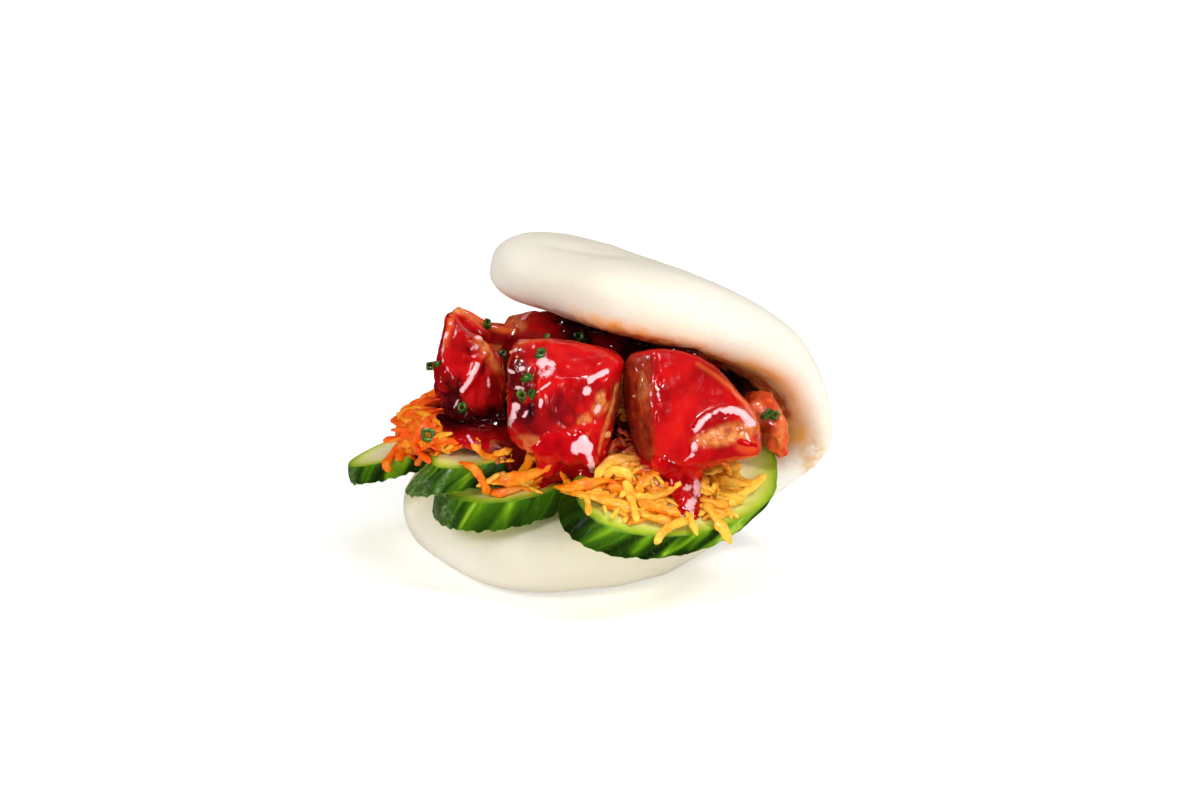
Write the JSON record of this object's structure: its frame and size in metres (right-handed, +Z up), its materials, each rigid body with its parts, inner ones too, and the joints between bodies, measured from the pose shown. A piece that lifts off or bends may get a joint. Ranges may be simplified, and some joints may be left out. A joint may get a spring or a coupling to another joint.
{
  "type": "chicken bao bun",
  "caption": "Folded steamed bun filled with glazed chicken pieces, grated carrot and cucumber slices, resting on its lower leaf.",
  "frame": {"origin": "under the middle of the box round the whole bun, at the height of the surface it rests on", "axes": "+X along the fold, +Y from the mouth to the fold, +Z up"},
  "size_m": [0.1046, 0.095, 0.073],
  "materials": {
    "bun": "soft steamed dough, satin",
    "carrot": "raw grated carrot, damp",
    "chicken": "sticky red glaze, glossy",
    "cucumber": "fresh cucumber with green peel, damp"
  },
  "bodies": {
    "root": {"bun": "bun", "carrot_heap": "carrot", "chicken_centre": "chicken", "chicken_far": "chicken", "chicken_fold": "chicken", "chicken_left": "chicken", "chicken_rear": "chicken", "chicken_right": "chicken", "chicken_shade": "chicken", "cucumber_far": "cucumber", "cucumber_front": "cucumber", "cucumber_left": "cucumber", "cucumber_middle": "cucumber", "cucumber_right": "cucumber"}
  },
  "joints": []
}
